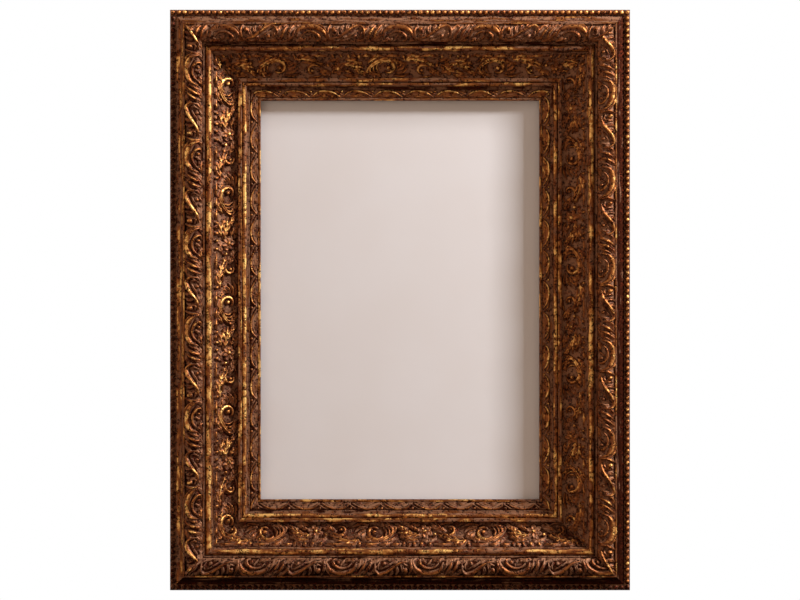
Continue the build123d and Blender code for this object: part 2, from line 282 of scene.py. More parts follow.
def acanthus_mould():
    """The outer course: a smooth hood, slanting stems, a swept leaf over a hollow, and a ball."""
    mould = Mould(62.5, 12.7)
    s = mould.stroke
    # Low leaf growth that shows between the main forms
    mould.leaf([(-1.0, 11.8), (6.0, 10.8), (13.0, 11.6)], (1.2, 2.0, 0.8), 1.5)
    mould.leaf([(13.0, 11.9), (20.0, 11.0), (26.0, 8.6)], (1.0, 1.9, 0.8), 1.6)
    mould.leaf([(25.0, 12.0), (30.0, 10.4), (35.0, 6.4)], (1.2, 2.0, 0.8), 1.7)
    mould.leaf([(21.0, 6.6), (24.0, 2.6), (29.0, 0.9)], (0.9, 1.7, 0.7), 1.7, 2)
    mould.leaf([(30.0, 3.6), (34.0, 1.4), (39.0, 1.0)], (0.9, 1.5, 0.6), 1.6, 2)
    mould.leaf([(57.0, 11.6), (60.0, 10.2), (64.0, 11.0)], (1.0, 1.8, 0.8), 1.4, 2)
    # Hood: a broad smooth arch with a rolled rim, and the leaf that curls under it
    s([(35.4, 9.0), (37.6, 4.6), (43.0, 2.6), (50.0, 2.8), (55.2, 5.4), (57.6, 9.6)],
      (0.8, 2.0, 2.3, 2.2, 1.1), (1.8, 2.9, 3.0, 2.8, 1.9), swelling_section)
    s([(36.6, 4.2), (42.0, 1.0), (49.6, 0.8), (55.8, 3.4), (58.4, 8.4)],
      (0.4, 0.7, 0.7, 0.4), (1.6, 2.7, 2.8, 1.8))
    s([(39.0, 8.4), (42.4, 6.0), (47.6, 5.8), (51.6, 8.0), (52.2, 10.4), (49.6, 11.4)],
      (0.5, 0.8, 1.0, 1.2, 0.6), (1.6, 2.2, 2.5, 2.6, 1.6))
    mould.ball((48.6, 9.4), 1.1, 1.3, 0.9)
    mould.leaf([(35.4, 11.6), (39.0, 10.6), (43.0, 11.4)], (1.0, 1.7, 0.7), 2.1, 2)
    mould.leaf([(43.6, 11.2), (45.6, 9.0), (46.6, 7.6)], (0.7, 1.0, 0.4), 1.5, 2)
    s([(53.6, 12.2), (56.2, 10.8), (58.0, 8.4)], (0.5, 0.9, 0.4), (1.3, 2.0, 1.2), right_blade_section)
    # Slanting stems
    s([(24.6, 10.6), (26.2, 6.4), (30.2, 1.6)], (0.6, 1.25, 0.6), (1.6, 2.7, 1.8))
    s([(28.6, 10.8), (30.2, 6.6), (33.8, 2.0)], (0.6, 1.25, 0.6), (1.6, 2.8, 1.8))
    s([(32.6, 10.4), (33.4, 7.2), (35.8, 3.6)], (0.5, 0.8, 0.4), (1.4, 2.2, 1.4))
    # Swept leaf arching over its hollow, feathered on the outer side
    for foot, tip in (((3.4, 8.0), (3.0, 2.2)), ((6.6, 6.6), (7.0, 1.0)), ((10.2, 4.8), (11.4, 0.7)),
                      ((14.0, 3.4), (16.0, 0.6))):
        middle = ((foot[0] + tip[0]) / 2 - 1.0, (foot[1] + tip[1]) / 2)
        s([foot, middle, tip], (0.7, 1.15, 0.45), (2.1, 2.4, 1.5), spoon_section)
    s([(-0.6, 9.6), (4.6, 8.4), (9.4, 5.8), (14.2, 3.2), (19.0, 2.0), (21.8, 4.4), (22.0, 8.6)],
      (0.6, 1.0, 1.2, 1.2, 1.1, 0.9, 0.5), (1.9, 2.7, 3.0, 3.0, 2.8, 2.4, 1.5))
    s([(9.0, 9.6), (12.6, 7.2), (17.2, 5.0)], (0.5, 0.9, 0.4), (1.2, 1.9, 1.2), right_blade_section)
    mould.ball((15.4, 8.6), 1.3, 1.3, 0.6)
    s([(18.6, 9.4), (19.8, 7.2), (19.6, 5.0)], (0.4, 0.7, 0.4), (1.2, 1.7, 1.1))
    # Ball in its husk, and the tail along the inner edge
    mould.ball((0.0, 4.2), 1.7, 2.1, 0.9)
    s([(-3.6, 10.0), (-4.2, 5.6), (-2.2, 1.2)], (0.8, 1.2, 0.6), (1.9, 2.6, 1.6))
    s([(-1.4, 7.2), (1.0, 7.8), (2.4, 5.6)], (0.4, 0.8, 0.4), (1.3, 1.9, 1.3))
    s([(-3.2, 10.8), (1.6, 11.5), (7.4, 10.9)], (0.6, 1.1, 0.4), (1.4, 2.3, 1.2), left_blade_section)
    mould.soften()
    return mould


def scroll_mould():
    """The wide course: two leafy scrolls turned against each other, a rosette and pearls."""
    mould = Mould(79.5, 17.6)
    s = mould.stroke
    # Low leaf growth that shows between the main forms
    mould.leaf([(-14.0, 11.4), (-10.4, 14.4), (-5.0, 15.4)], (1.2, 2.2, 0.9), 1.7)
    mould.leaf([(29.0, 10.6), (32.6, 12.6), (38.0, 14.6)], (1.3, 2.4, 1.0), 1.7)
    mould.leaf([(48.0, 15.0), (52.6, 15.8), (58.4, 16.6)], (1.2, 2.2, 0.8), 1.6)
    mould.leaf([(7.0, 3.6), (10.0, 6.4), (14.6, 7.4)], (0.9, 1.8, 0.7), 1.6, 2)
    mould.leaf([(36.0, 5.6), (40.0, 4.2), (45.0, 4.4)], (1.0, 1.8, 0.8), 1.5, 2)
    mould.leaf([(56.0, 12.4), (60.0, 13.2), (64.6, 15.6)], (1.0, 2.0, 0.8), 1.7, 2)
    # First scroll: a ring round its ball, opening into a leaf tip
    mould.curl((0.0, 10.0), (6.4, 2.9), 215, 265, (0.9, 1.7, 1.5, 0.8), (2.0, 2.6, 2.5, 1.8))
    mould.ball((0.8, 9.6), 1.7, 1.6, 0.9)
    s([(3.0, 12.6), (2.4, 11.0), (1.2, 10.4)], (0.7, 0.8, 0.6), (1.9, 1.8, 1.6))
    mould.leaf([(2.4, 4.6), (5.4, 4.2), (7.6, 6.8)], (0.9, 1.5, 0.6), 2.2, 2)
    # Fingered leaf that runs into it
    s([(-15.6, 12.6), (-12.4, 8.6), (-8.2, 5.4), (-2.2, 3.0), (3.4, 3.4)],
      (0.7, 1.5, 1.7, 1.3, 0.6), (1.6, 2.5, 2.7, 2.4, 1.5), veined_section)
    for shift in range(4):
        foot = (-14.2 + 2.3 * shift, 9.6 - 1.1 * shift)
        tip = (-12.6 + 2.2 * shift, 15.6 - 0.7 * shift)
        bend = (foot[0] - 0.7, (foot[1] + tip[1]) / 2)
        s([foot, bend, tip], (0.5, 0.85, 0.35), (2.0, 2.2, 1.3))
    mould.leaf([(-14.0, 5.6), (-10.0, 3.0), (-5.0, 1.4)], (0.9, 1.7, 0.7), 2.0, 2)
    # Feathered leaf between the scrolls
    for foot, bend, tip in (
        ((5.4, 15.0), (10.6, 15.8), (16.0, 13.8)),
        ((6.4, 13.2), (11.0, 12.6), (14.6, 9.8)),
        ((7.6, 11.0), (10.8, 9.4), (12.6, 6.8)),
        ((7.2, 8.8), (9.0, 7.2), (9.8, 5.0)),
    ):
        s([foot, bend, tip], (0.9, 1.35, 0.5), (1.9, 2.3, 1.3), right_blade_section)
    # Long slanting leaf over the second scroll
    mould.leaf([(12.0, 3.4), (18.6, 2.8), (26.0, 4.4), (33.6, 8.0)], (1.1, 2.2, 1.7, 0.7), 2.5, 4)
    s([(16.0, 6.0), (22.0, 6.0), (28.6, 8.2), (34.0, 10.6)], (0.5, 1.0, 0.9, 0.4), (1.4, 2.2, 2.0, 1.2))
    # Second scroll, turned the other way
    mould.curl((25.4, 11.6), (4.9, 2.2), -35, -250, (0.8, 1.5, 1.3, 0.7), (1.9, 2.4, 2.3, 1.7))
    mould.ball((24.8, 11.5), 1.3, 1.4, 0.9)
    mould.ball((36.0, 7.6), 1.4, 1.8, 0.9)
    s([(33.0, 14.8), (29.0, 16.6), (23.0, 17.0)], (0.5, 1.0, 0.4), (1.2, 1.9, 1.1))
    # Rosette of six petals round a boss
    middle = (43.6, 10.2)
    for petal in range(6):
        angle = math.radians(60 * petal + 20)
        heart = (middle[0] + 1.2 * math.cos(angle), middle[1] + 1.2 * math.sin(angle))
        tip = (middle[0] + 4.0 * math.cos(angle), middle[1] + 3.8 * math.sin(angle))
        s([heart, tip], (0.9, 1.9, 1.7), (1.9, 2.4, 1.8), spoon_section)
    mould.ball(middle, 1.6, 1.9, 1.0)
    # Big ribbed leaf that leads to the next scroll, with a fan of fingers
    mould.leaf([(47.6, 7.0), (52.6, 7.4), (57.4, 9.6), (61.6, 13.6)], (1.4, 2.9, 2.3, 0.9), 2.5, 4)
    mould.leaf([(49.0, 4.0), (55.0, 4.2), (61.0, 7.0)], (0.9, 1.7, 0.8), 2.3)
    mould.leaf([(48.4, 11.6), (51.6, 12.8), (54.6, 14.8)], (0.9, 1.6, 0.7), 2.0, 2)
    mould.ball((57.2, 8.4), 1.1, 1.6, 1.6)
    # Pearls and leaf edges along the outer side
    for pearl in (11.6, 39.6, 45.6, 51.0, 58.6):
        mould.ball((pearl, 1.5), 1.25, 1.5, 0.8)
    for start, end in ((-2.0, 9.0), (13.6, 22.0), (23.6, 36.6), (53.4, 56.6), (60.6, 68.0), (69.0, 76.0)):
        s([(start, 1.5), ((start + end) / 2, 0.9), (end, 1.5)], (0.5, 1.0, 0.5), (1.5, 2.3, 1.5))
    mould.soften()
    return mould


def sight_leaf_mould():
    """The narrow course: lobed leaves that lap along the sight edge, with a berry between."""
    mould = Mould(22.4, 6.1)
    s = mould.stroke
    s([(1.6, 5.2), (6.8, 3.4), (12.6, 3.2), (18.6, 5.2)], (0.5, 1.3, 1.3, 0.4), (0.9, 1.3, 1.3, 0.8),
      spoon_section)
    s([(5.6, 5.6), (9.6, 4.9), (13.6, 5.4)], (0.4, 0.7, 0.3), (0.8, 1.2, 0.8))
    s([(0.2, 5.2), (4.6, 1.8), (10.8, 1.0), (16.4, 2.4), (20.8, 5.0)],
      (0.4, 0.8, 0.9, 0.8, 0.4), (1.0, 1.6, 1.7, 1.6, 1.0))
    s([(15.4, 0.8), (19.0, 1.4), (23.0, 4.0)], (0.4, 0.7, 0.4), (0.9, 1.4, 0.8), right_blade_section)
    mould.ball((22.2, 1.4), 0.9, 1.0, 0.5)
    s([(12.0, 5.4), (15.4, 5.2), (18.0, 5.6)], (0.3, 0.6, 0.3), (0.7, 1.0, 0.6))
    mould.soften()
    return mould


# The pressed courses: mould, outer place, ground as (inward, height) points, bed
# heights at both edges, full relief, and for each side where the first repeat starts
# and how brightly its highest points are rubbed, with painted highlights and shade added for how that side
# is lit
COURSES = {
    "acanthus_band": dict(
        mould=acanthus_mould(),
        at=ACANTHUS_AT,
        end=INNER_FILLET_AT,
        ground=((0.0, 29.0 * MM), (6.0 * MM, 32.6 * MM), (12.7 * MM, 28.7 * MM)),
        bed=(ACANTHUS_BED, ACANTHUS_BED),
        relief=3.0 * MM,
        starts=dict(top=14.8 * MM, right=-6.6 * MM, bottom=-4.0 * MM, left=-5.8 * MM),
        rub_and_side_light=dict(top=0.68, right=0.82, bottom=1.2, left=1.6),
    ),
    "scroll_band": dict(
        mould=scroll_mould(),
        at=SCROLL_AT,
        end=STEP_AT,
        ground=((0.0, 25.0 * MM), (7.3 * MM, 17.0 * MM), (17.6 * MM, 14.0 * MM)),
        bed=(SCROLL_OUTER_BED, SCROLL_INNER_BED),
        relief=2.6 * MM,
        starts=dict(top=-9.0 * MM, right=-24.0 * MM, bottom=18.0 * MM, left=-2.5 * MM),
        rub_and_side_light=dict(top=1.05, right=0.88, bottom=1.45, left=1.55),
    ),
    "sight_leaf_band": dict(
        mould=sight_leaf_mould(),
        at=SIGHT_LEAF_AT,
        end=SIGHT_FILLET_AT,
        ground=((0.0, 11.6 * MM), (3.0 * MM, 11.6 * MM), (6.1 * MM, 10.8 * MM)),
        bed=(SIGHT_LEAF_BED, SIGHT_LEAF_BED),
        relief=1.7 * MM,
        starts=dict(top=3.0 * MM, right=8.0 * MM, bottom=13.4 * MM, left=17.0 * MM),
        rub_and_side_light=dict(top=1.1, right=1.15, bottom=1.3, left=1.45),
    ),
}
# How far under its surroundings a crevice takes all its dark wash, and how dark that is
CREVICE_DEPTH = 1.8 * MM
CREVICE_WASH = 0.9

# Painted light and shade for each side, together with its rub: these make whole sides lighter or
# darker than the lamps leave them. The first three are added to the polish of all its
# moulding, of its outer cove and of its beads, and the last is what the open ground of its
# pressed courses starts from.
SIDE_LIGHT_AND_RUB = dict(top=-0.4, right=-0.2, bottom=-0.2, left=-0.12)
COVE_SIDE_SHADE = dict(top=-0.06, right=-1.55, bottom=-1.4, left=0.05)
BEADS_SIDE_LIGHT_AND_SHADE = dict(top=0.25, right=0.2, bottom=-1.5, left=-1.3)
GROUND_SIDE_LIGHT_AND_DUST = dict(top=0.1, right=0.1, bottom=-0.45, left=-0.42)

# Spacing of the points over the pressed courses, along the mouldings and across them, and how
# many places a course's ground is measured at
CARVED_PITCH = 0.34 * MM
MOULDED_PITCH = 1.5 * MM
MOULDED_STEP = 0.8 * MM
GROUND_SAMPLES = 400

# What the hand left on the mouldings: sanded corners, unevenness as pairs of depth and patch
# size, which ends short of the mitres, and streaks of polish drawn out along the rail
SANDED_RADIUS = 0.28 * MM
UNEVENNESS = ((0.06 * MM, 5.0 * MM), (0.035 * MM, 2.2 * MM))
EVEN_END_SHARE = 0.0125
STREAK_WIDTH = 1.6 * MM
STREAK_STRETCH = 6
STREAK_POLISH = 0.8

# How near to the back, to the rebate's floor and to its wall a face counts as sawn wood
BACK_REACH = 0.5 * MM
REBATE_FLOOR_REACH = 0.1 * MM
REBATE_WALL_REACH = 1.0 * MM
WELD_REACH = 0.001 * MM

# Beads on the outer edge
BEAD_RADIUS = 2.0 * MM
BEAD_PITCH = 4.28 * MM
BEAD_HEIGHT = 21.8 * MM
BEAD_STRIP_TOP = 21.4 * MM
BEAD_STRIP_POLISH = 0.2
BEAD_SIZE_SHARES = (0.955, 0.995)
BEAD_POLISHES = (0.6, 0.8)
BEAD_FOOT_SHARE = 0.25


def side_turn(side):
    """The turn that carries a shape from the top rail's place to its own side."""
    return Matrix.Rotation(QUARTER_TURN * list(RAILS).index(side), 4, "Y")


def add_piece(name, mesh, materials):
    """A finished piece that rides on the frame itself."""
    piece = bpy.data.objects.new(name, mesh)
    bpy.context.scene.collection.objects.link(piece)
    for material in materials:
        mesh.materials.append(material)
    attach(piece, "frame_assembly")
    return piece


def unit_sheet(columns, rows):
    """A fine face over -1..1 with four rims and a floor one below it."""
    shell = bmesh.new()
    bmesh.ops.create_grid(shell, x_segments=columns, y_segments=rows, size=1)
    for face in shell.faces:
        face.smooth = True
    rim = [edge for edge in shell.edges if edge.is_boundary]
    for edge in rim:
        edge.smooth = False
    grown = bmesh.ops.extrude_edge_only(shell, edges=rim)["geom"]
    floor_points = [item for item in grown if isinstance(item, bmesh.types.BMVert)]
    bmesh.ops.translate(shell, verts=floor_points, vec=(0, 0, -1))
    floor_rim = [edge for edge in shell.edges if edge.is_boundary]
    for edge in floor_rim:
        edge.smooth = False
    bmesh.ops.holes_fill(shell, edges=floor_rim, sides=0)
    bmesh.ops.recalc_face_normals(shell, faces=shell.faces)
    mesh = bpy.data.meshes.new("sheet")
    shell.to_mesh(mesh)
    shell.free()
    return mesh


def places_of(mesh):
    """The places of a mesh's points, one to a row."""
    places = np.empty(len(mesh.vertices) * 3)
    mesh.vertices.foreach_get("co", places)
    return places.reshape(-1, 3)


def set_places(mesh, places):
    """Moves a mesh's points to these places."""
    mesh.vertices.foreach_set("co", places.ravel())
    mesh.update()


def set_wear_and_side_light(mesh, wear_and_side_light):
    """How bright each point's rub is, with painted light and shade for its side added: 1 where crests are
    golden, 0 in dust, -1 in a dark crevice.
    """
    attribute = mesh.attributes.new("wear_and_side_light", "FLOAT", "POINT")
    attribute.data.foreach_set("value", wear_and_side_light.astype(np.float32))


def on_rail(along, inward, height, half_extent):
    """Frame points for places on the top rail."""
    return np.stack([along, -WALL_CLEARANCE - height, half_extent - inward], axis=-1)


def curved_ground(course):
    """The ground's places, heights and facing across a course, evenly spaced along it."""
    inward, height = zip(*course["ground"])
    curve = np.polyfit(inward, height, 2)
    fine = np.linspace(0, course["end"] - course["at"], GROUND_SAMPLES)
    level = np.polyval(curve, fine)
    steps = np.hypot(np.diff(fine), np.diff(level))
    run = np.concatenate([[0], np.cumsum(steps)])
    slope = np.polyval(np.polyder(curve), fine)
    tilt = np.hypot(1, slope)
    return fine, level, run, -slope / tilt, 1 / tilt


def pressed_course(kind, side, materials):
    """One side's pressed course, displaced from its ground and cut at both mitres."""
    course = COURSES[kind]
    length, half_extent = RAILS[side]
    fine, level, run, lean, rise = curved_ground(course)
    columns = round((length - 2 * course["at"]) / CARVED_PITCH)
    rows = round(run[-1] / CARVED_PITCH)
    mesh = unit_sheet(columns, rows)
    places = places_of(mesh)
    share = places[:, 0]
    here = (1 - places[:, 1]) / 2 * run[-1]
    surface = places[:, 2] > -0.5
    inward = np.interp(here, run, fine)
    ground = np.interp(here, run, level)
    flat_along = share * (length / 2 - course["at"] - inward)
    mould = course["mould"]
    drawn_along = flat_along - course["starts"][side]
    height = mould.at(drawn_along, inward)
    crevice = mould.at(drawn_along, inward, mould.crevices()) / CREVICE_DEPTH
    rim = np.minimum(inward, fine[-1] - inward) < CARVED_PITCH / 4
    # The rub of the raised points and of the open ground also carries painted light and shade for this
    # side.
    wear_and_side_light = GROUND_SIDE_LIGHT_AND_DUST[side] + np.clip(height / course["relief"], 0, 1) * course["rub_and_side_light"][side]
    wear_and_side_light = wear_and_side_light - CREVICE_WASH * np.clip(crevice, 0, 1)
    height = np.where(rim, height / 2, height)
    across = inward + np.interp(here, run, lean) * height * np.where(rim, 0, 1)
    across = np.clip(across, 0, fine[-1])
    top = ground + np.interp(here, run, rise) * height
    width_share = inward / fine[-1]
    bed = course["bed"][0] + (course["bed"][1] - course["bed"][0]) * width_share
    p = course["at"] + np.where(surface, across, inward)
    along = share * (length / 2 - p)
    set_places(mesh, on_rail(along, p, np.where(surface, top, bed), half_extent))
    mesh.transform(side_turn(side))
    set_wear_and_side_light(mesh, np.where(surface, wear_and_side_light, 0))
    piece = add_piece(f"pressed_{kind}_{side}", mesh, materials)
    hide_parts(f"{kind}_{side}")


def arc_between(start, end, sag_share, count):
    """Points of an arc off its chord to the right-hand side, after its start."""
    run, rise = end[0] - start[0], end[1] - start[1]
    chord = math.hypot(run, rise)
    sag = chord * sag_share
    radius = (chord**2 / 4 + sag**2) / (2 * sag)
    middle = ((start[0] + end[0]) / 2, (start[1] + end[1]) / 2)
    normal = (rise / chord, -run / chord)
    centre = (middle[0] + normal[0] * (sag - radius), middle[1] + normal[1] * (sag - radius))
    first = math.atan2(start[1] - centre[1], start[0] - centre[0])
    last = math.atan2(end[1] - centre[1], end[0] - centre[0])
    turn = (last - first + math.pi) % (2 * math.pi) - math.pi
    return [
        (centre[0] + abs(radius) * math.cos(first + turn * (k + 1) / count),
         centre[1] + abs(radius) * math.sin(first + turn * (k + 1) / count))
        for k in range(count)
    ]


def half_round(start, end, count):
    """Points of a half circle that stands up from start to end, after its start."""
    radius = (end[0] - start[0]) / 2
    middle = (start[0] + end[0]) / 2
    angles = [math.pi * (1 - (k + 1) / count) for k in range(count)]
    return [(middle + radius * math.cos(angle), start[1] + radius * math.sin(angle)) for angle in angles]


def moulding_section():
    """The rail's closed section as (p, h, polish), from the outer edge over the front."""
    section = []

    def line(*corners):
        section.extend(corners)

    def curve(points, polishes):
        shares = np.linspace(0, 1, len(points) + 1)[1:]
        levels = np.interp(shares, np.linspace(0, 1, len(polishes)), polishes)
        section.extend((p, h, level) for (p, h), level in zip(points, levels))

    line((0, 0, 0.4), (0, SIDE_TOP, 0.5), (COVE_AT, SIDE_TOP, -0.4), (COVE_AT, COVE_FOOT, -0.2))
    cove = arc_between((COVE_AT, COVE_FOOT), (OUTER_FILLET_AT, COVE_HEAD), 0.16, 12)
    curve(cove, (0.4, 0.7, 0.8, 0.75))
    line((OUTER_FILLET_AT, OUTER_FILLET_TOP, 0.8), (ACANTHUS_AT, OUTER_FILLET_TOP, 0.7))
    line((ACANTHUS_AT, ACANTHUS_BED, 0.1), (INNER_FILLET_AT, ACANTHUS_BED, 0.1))
    line((INNER_FILLET_AT, INNER_FILLET_TOP, 0.1), (QUIRK_AT, INNER_FILLET_TOP, 0.1))
    line((QUIRK_AT, QUIRK_TOP, 0.0), (ASTRAGAL_AT, QUIRK_TOP, 0.15))
    astragal = half_round((ASTRAGAL_AT, QUIRK_TOP), (DROP_AT, QUIRK_TOP), 12)
    curve(astragal, (0.2, 0.9, 1.05, 1.1, 1.05, 0.9, 0.2))
    line((DROP_AT, DROP_TOP, 0.05), (SCROLL_AT, DROP_TOP, 0.4), (SCROLL_AT, SCROLL_OUTER_BED, 0.1))
    line((STEP_AT, SCROLL_INNER_BED, 0.1), (STEP_AT, STEP_TOP, 0.75), (REED_AT, STEP_TOP, 0.8))
    line((REED_AT, REED_FOOT, 0.05))
    reed = half_round((REED_AT, REED_FOOT), (HOLLOW_AT, REED_FOOT), 10)
    curve(reed, (0.1, 0.7, 0.95, 1.0, 0.8, 0.1))
    line((HOLLOW_AT, HOLLOW_TOP, 0.1), (SIGHT_LEAF_AT, HOLLOW_TOP, 0.15))
    line((SIGHT_LEAF_AT, SIGHT_LEAF_BED, 0.1), (SIGHT_FILLET_AT, SIGHT_LEAF_BED, 0.1))
    line((SIGHT_FILLET_AT, SIGHT_FILLET_TOP, 0.6), (RAIL_WIDTH, SIGHT_FILLET_TOP, 0.9))
    line((RAIL_WIDTH, REBATE_DEPTH, 0.2), (REBATE_AT, REBATE_DEPTH, 0.0), (REBATE_AT, 0, 0.0))
    return section


def eased(section, radius):
    """The closed section with each sharp corner rounded, as sanding leaves it."""
    out = []
    count = len(section)
    for index, corner in enumerate(section):
        before = np.array(section[index - 1])
        after = np.array(section[(index + 1) % count])
        corner = np.array(corner)
        into = corner - before
        away = after - corner
        lengths = (np.hypot(*into[:2]), np.hypot(*away[:2]))
        turn = np.dot(into[:2], away[:2]) / (lengths[0] * lengths[1])
        if turn > 0.8:
            out.append(corner)
            continue
        first = corner - into * min(radius / lengths[0], 0.4)
        last = corner + away * min(radius / lengths[1], 0.4)
        middle = corner * 0.5 + (first + last) * 0.25
        middle[2] = corner[2]
        out.extend([first, middle, last])
    return out


def divided(section, longest):
    """The closed section with no stretch longer than this, and its start repeated at its end."""
    out = []
    count = len(section)
    for index, start in enumerate(section):
        end = section[(index + 1) % count]
        parts = max(1, math.ceil(np.hypot(*(end - start)[:2]) / longest))
        out.extend(start + (end - start) * part / parts for part in range(parts))
    out.append(out[0])
    return np.array(out)


def soft_noise(first, second, patch, seed):
    """Smooth variation from -1 to 1 over two coordinates, the same on each run."""
    grid = np.random.default_rng(seed).uniform(-1, 1, (256, 256))
    x, y = first / patch, second / patch
    i, j = np.floor(x).astype(int), np.floor(y).astype(int)
    fx, fy = x - i, y - j
    fx, fy = fx * fx * (3 - 2 * fx), fy * fy * (3 - 2 * fy)
    near = grid[i % 256, j % 256] * (1 - fx) + grid[(i + 1) % 256, j % 256] * fx
    far = grid[i % 256, (j + 1) % 256] * (1 - fx) + grid[(i + 1) % 256, (j + 1) % 256] * fx
    return near * (1 - fy) + far * fy


def section_facing(section):
    """Which way each point of the closed section faces, as (p, h)."""
    ahead = np.roll(section[:-1, :2], -1, 0)
    behind = np.roll(section[:-1, :2], 1, 0)
    run = ahead - behind
    facing = np.stack([-run[:, 1], run[:, 0]], -1) / np.linalg.norm(run, axis=1)[:, None]
    return np.vstack([facing, facing[:1]])


def row_grid(columns, rows):
    """A flat grid over -1..1 whose points are lifted by the number of their row."""
    grid = bmesh.new()
    bmesh.ops.create_grid(grid, x_segments=columns, y_segments=rows, size=1)
    for point in grid.verts:
        point.co.z = round((1 - point.co.y) / 2 * rows)
    mesh = bpy.data.meshes.new("moulding")
    grid.to_mesh(mesh)
    grid.free()
    return mesh


def closed_rail(mesh, half_extent):
    """Welds the grid's two long edges, closes its ends and gives the sawn faces their wood."""
    rail = bmesh.new()
    rail.from_mesh(mesh)
    for face in rail.faces:
        face.smooth = True
    bmesh.ops.remove_doubles(rail, verts=rail.verts, dist=WELD_REACH)
    ends = [edge for edge in rail.edges if edge.is_boundary]
    for edge in ends:
        edge.smooth = False
    bmesh.ops.holes_fill(rail, edges=ends, sides=0)
    bmesh.ops.recalc_face_normals(rail, faces=rail.faces)
    back = -WALL_CLEARANCE - BACK_REACH
    rebate_floor = -WALL_CLEARANCE - REBATE_DEPTH - REBATE_FLOOR_REACH
    rebate_wall = half_extent - REBATE_AT + REBATE_WALL_REACH
    for face in rail.faces:
        middle = face.calc_center_median()
        in_rebate = middle.z < rebate_wall and middle.y > rebate_floor
        if middle.y > back or in_rebate:
            face.material_index = 1
    rail.to_mesh(mesh)
    rail.free()


def moulded_rail(side, materials):
    """One side's moulding: its section run along the rail, slightly uneven by hand."""
    length, half_extent = RAILS[side]
    section = divided(eased(moulding_section(), SANDED_RADIUS), MOULDED_STEP)
    mesh = row_grid(round(length / MOULDED_PITCH), len(section) - 1)
    places = places_of(mesh)
    share = places[:, 0]
    row = np.round(places[:, 2]).astype(int)
    p, h, polish = section[row].T
    facing = section_facing(section)[row]
    steps = np.linalg.norm(np.diff(section[:, :2], axis=0), axis=1)
    around = np.concatenate([[0], np.cumsum(steps)])[row]
    flat_along = share * (length / 2 - p)
    seed = list(RAILS).index(side)
    uneven = sum(
        depth * soft_noise(flat_along, around, patch, seed + 10 * index)
        for index, (depth, patch) in enumerate(UNEVENNESS)
    )
    from_mitre = np.clip((1 - np.abs(share)) / EVEN_END_SHARE, 0, 1)
    uneven = np.where(h > REBATE_DEPTH, uneven, 0) * np.sin(np.pi / 2 * from_mitre)
    p = np.clip(p + facing[:, 0] * uneven, 0, RAIL_WIDTH)
    h = h + facing[:, 1] * uneven
    set_places(mesh, on_rail(share * (length / 2 - p), p, h, half_extent))
    streaks = soft_noise(flat_along / STREAK_STRETCH, around, STREAK_WIDTH, seed + 20)
    on_cove = (p > COVE_AT) & (p < OUTER_FILLET_AT)
    # Painted light and shade for this side are added to the rub, with painted shade on the outer coves of
    # the right and bottom.
    rub_and_side_light = SIDE_LIGHT_AND_RUB[side] + np.where(on_cove, COVE_SIDE_SHADE[side], 0)
    set_wear_and_side_light(mesh, polish + STREAK_POLISH * streaks + rub_and_side_light)
    closed_rail(mesh, half_extent)
    mesh.transform(side_turn(side))
    piece = add_piece(f"moulded_rail_{side}", mesh, materials)
    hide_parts(f"rail_{side}")


def beaded_edge(side, materials):
    """One side's string of beads on its strip, with the corner bead at its start only."""
    length, half_extent = RAILS[side]
    run = length - 2 * BEAD_RADIUS
    gaps = round(run / BEAD_PITCH)
    string = bmesh.new()
    polish = string.verts.layers.float.new("wear_and_side_light")
    bmesh.ops.create_grid(string, x_segments=1, y_segments=1, size=1)
    lift = bmesh.ops.extrude_face_region(string, geom=list(string.faces))["geom"]
    top = {item for item in lift if isinstance(item, bmesh.types.BMVert)}
    for point in string.verts:
        p = COVE_AT * (1 - point.co.y) / 2
        height = BEAD_STRIP_TOP if point in top else SIDE_TOP
        along = point.co.x * (length / 2 - p)
        point.co = (along, -WALL_CLEARANCE - height, half_extent - p)
        point[polish] = BEAD_STRIP_POLISH
    bmesh.ops.recalc_face_normals(string, faces=string.faces)
    rng = np.random.default_rng(list(RAILS).index(side) + 40)
    for index in range(gaps):
        place = (
            -run / 2 + index * run / gaps,
            -WALL_CLEARANCE - BEAD_HEIGHT,
            half_extent - BEAD_RADIUS,
        )
        matrix = Matrix.Translation(place) @ Matrix.Rotation(QUARTER_TURN, 4, "X")
        radius = BEAD_RADIUS * rng.uniform(*BEAD_SIZE_SHARES)
        made = bmesh.ops.create_uvsphere(string, u_segments=12, v_segments=8, radius=radius, matrix=matrix)
        # Each bead's rub plus painted light and shade for its side: darker beads at the bottom and left,
        # lighter at the top and right.
        wear_with_side_light = rng.uniform(*BEAD_POLISHES) + BEADS_SIDE_LIGHT_AND_SHADE[side]
        for point in made["verts"]:
            rise = (-WALL_CLEARANCE - BEAD_HEIGHT - point.co.y) / BEAD_RADIUS
            point[polish] = wear_with_side_light * min(1, max(0, BEAD_FOOT_SHARE + (1 - BEAD_FOOT_SHARE) * rise))
            for face in point.link_faces:
                face.smooth = True
    mesh = bpy.data.meshes.new("beads")
    string.to_mesh(mesh)
    string.free()
    mesh.transform(side_turn(side))
    piece = add_piece(f"beaded_edge_{side}", mesh, materials)
    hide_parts(f"bead_course_{side}")


